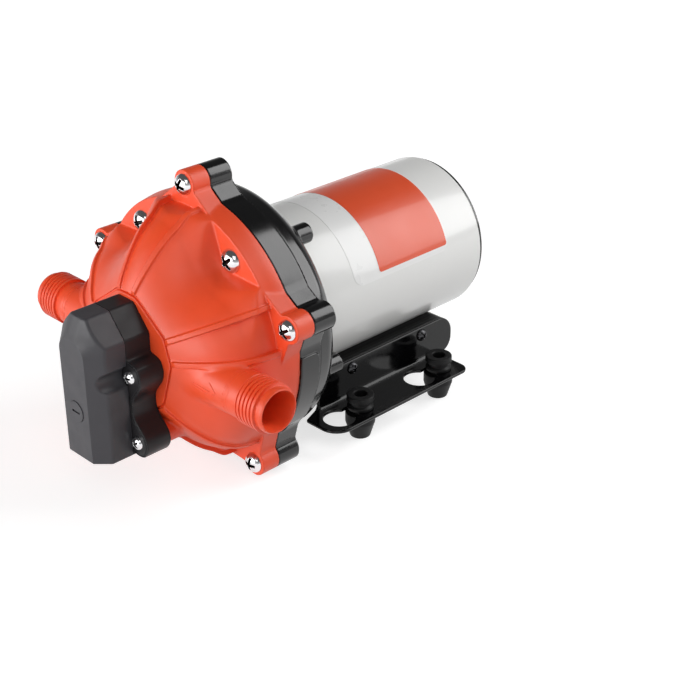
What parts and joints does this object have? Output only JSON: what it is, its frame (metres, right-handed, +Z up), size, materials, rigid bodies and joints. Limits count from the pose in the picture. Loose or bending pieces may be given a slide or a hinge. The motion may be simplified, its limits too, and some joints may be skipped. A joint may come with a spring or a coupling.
{
  "type": "diaphragm water pump",
  "caption": "Twelve volt diaphragm water pump with a threaded inlet and outlet, a pressure switch, a canned motor and a footed base.",
  "frame": {"origin": "centre of the four foot screws, on the floor", "axes": "+X along the pump axis from the head to the motor's rear, +Z up, outlet port towards -Y"},
  "size_m": [0.2069, 0.148, 0.1295],
  "materials": {
    "head_plastic": "semi-gloss moulded orange plastic",
    "housing_plastic": "gloss black moulded housing",
    "switch_base_plastic": "satin black plastic",
    "switch_cover_plastic": "satin dark grey plastic",
    "can_paint": "gloss white painted steel",
    "label_film": "plain orange film",
    "base_paint": "gloss black painted sheet steel",
    "foot_rubber": "matte black rubber",
    "screw_steel": "bright plated steel",
    "rail_screw_steel": "blackened steel",
    "bearing_steel": "ground steel",
    "seal_rubber": "black elastomer",
    "inner_plastic": "natural moulded plastic",
    "core_steel": "stacked lamination steel",
    "copper": "copper",
    "ferrite": "sintered ferrite",
    "carbon": "carbon",
    "bronze": "bronze or brass"
  },
  "bodies": {
    "pump": {"pump_head": "head_plastic", "drive_housing": "housing_plastic", "motor_flange": "housing_plastic", "motor_end_cap": "housing_plastic", "switch_base": "switch_base_plastic", "switch_cover": "switch_cover_plastic", "motor_can": "can_paint", "motor_label": "label_film", "motor_saddle": "base_paint", "near_rail": "base_paint", "far_rail": "base_paint", "wire_grommet": "foot_rubber", "lug_screws": "screw_steel", "inner_screws": "screw_steel", "switch_screws": "screw_steel", "through_bolts": "screw_steel", "rail_screws": "rail_screw_steel", "motor_outer_race": "bearing_steel", "switch_spring": "bearing_steel", "brush_springs": "bearing_steel", "head_seals": "seal_rubber", "inlet_valves": "seal_rubber", "outlet_valve": "seal_rubber", "diaphragm": "seal_rubber", "switch_membrane": "seal_rubber", "valve_plate": "inner_plastic", "brush_plate": "inner_plastic", "micro_switch": "inner_plastic", "magnets": "ferrite", "brushes": "carbon", "rear_bush": "bronze"},
    "rotor": {"eccentric_hub": "bearing_steel", "hub_set_screw": "rail_screw_steel", "motor_shaft": "bearing_steel", "motor_inner_race": "bearing_steel", "wobble_inner_race": "bearing_steel", "armature_core": "core_steel", "armature_winding": "copper", "commutator": "copper"},
    "wobble": {"wobble_plate": "inner_plastic", "wobble_outer_race": "bearing_steel", "pistons": "inner_plastic", "piston_screws": "screw_steel"},
    "wobble_cage": {"wobble_balls": "bearing_steel"},
    "motor_cage": {"motor_balls": "bearing_steel"},
    "switch_plunger": {"switch_plunger": "inner_plastic"},
    "switch_button": {"micro_switch_button": "inner_plastic"},
    "adjusting_screw": {"adjusting_screw": "bronze"},
    "adjuster_plug": {"adjuster_plug": "switch_cover_plastic"},
    "near_front_foot": {"near_front_foot": "foot_rubber"},
    "near_rear_foot": {"near_rear_foot": "foot_rubber"},
    "far_front_foot": {"far_front_foot": "foot_rubber"},
    "far_rear_foot": {"far_rear_foot": "foot_rubber"}
  },
  "joints": [
    {"name": "rotor_spin", "type": "hinge", "parent": "pump", "child": "rotor", "pos_m": [0, 0, 0.0605], "axis": [1, 0, 0], "continuous": true},
    {"name": "wobble_spin", "type": "hinge", "parent": "rotor", "child": "wobble", "pos_m": [-0.0763, 0, 0.0605], "axis": [0.9986, 0, -0.0523], "continuous": true, "deforming": ["diaphragm"]},
    {"name": "wobble_cage_spin", "type": "hinge", "parent": "rotor", "child": "wobble_cage", "pos_m": [-0.0763, 0, 0.0605], "axis": [0.9986, 0, -0.0523], "continuous": true},
    {"name": "motor_cage_spin", "type": "hinge", "parent": "pump", "child": "motor_cage", "pos_m": [0, 0, 0.0605], "axis": [1, 0, 0], "continuous": true},
    {"name": "plunger_slide", "type": "slide", "parent": "pump", "child": "switch_plunger", "axis": [-1, 0, 0], "range_m": [0, 0.0012], "stiffness_N_per_m": 800, "springref_m": -0.002, "deforming": ["switch_spring", "switch_membrane"]},
    {"name": "button_slide", "type": "slide", "parent": "pump", "child": "switch_button", "axis": [-1, 0, 0], "range_m": [0, 0.0012]},
    {"name": "adjuster_turn", "type": "hinge", "parent": "pump", "child": "adjusting_screw", "pos_m": [-0.134, 0, 0.0435], "axis": [1, 0, 0], "range_deg": [-180, 180]},
    {"name": "plug_pull", "type": "slide", "parent": "pump", "child": "adjuster_plug", "axis": [-1, 0, 0], "range_m": [0, 0.012]},
    {"name": "near_front_foot_slide", "type": "slide", "parent": "pump", "child": "near_front_foot", "axis": [-1, 0, 0], "range_m": [0, 0.013]},
    {"name": "near_rear_foot_slide", "type": "slide", "parent": "pump", "child": "near_rear_foot", "axis": [-1, 0, 0], "range_m": [0, 0.013]},
    {"name": "far_front_foot_slide", "type": "slide", "parent": "pump", "child": "far_front_foot", "axis": [-1, 0, 0], "range_m": [0, 0.013]},
    {"name": "far_rear_foot_slide", "type": "slide", "parent": "pump", "child": "far_rear_foot", "axis": [-1, 0, 0], "range_m": [0, 0.013]}
  ],
  "couplings": [
    {"joint": "wobble_spin", "follows": "rotor_spin", "ratio": -1},
    {"joint": "wobble_cage_spin", "follows": "rotor_spin", "ratio": -0.588},
    {"joint": "motor_cage_spin", "follows": "rotor_spin", "ratio": 0.39733},
    {"joint": "button_slide", "follows": "plunger_slide", "ratio": 1}
  ]
}
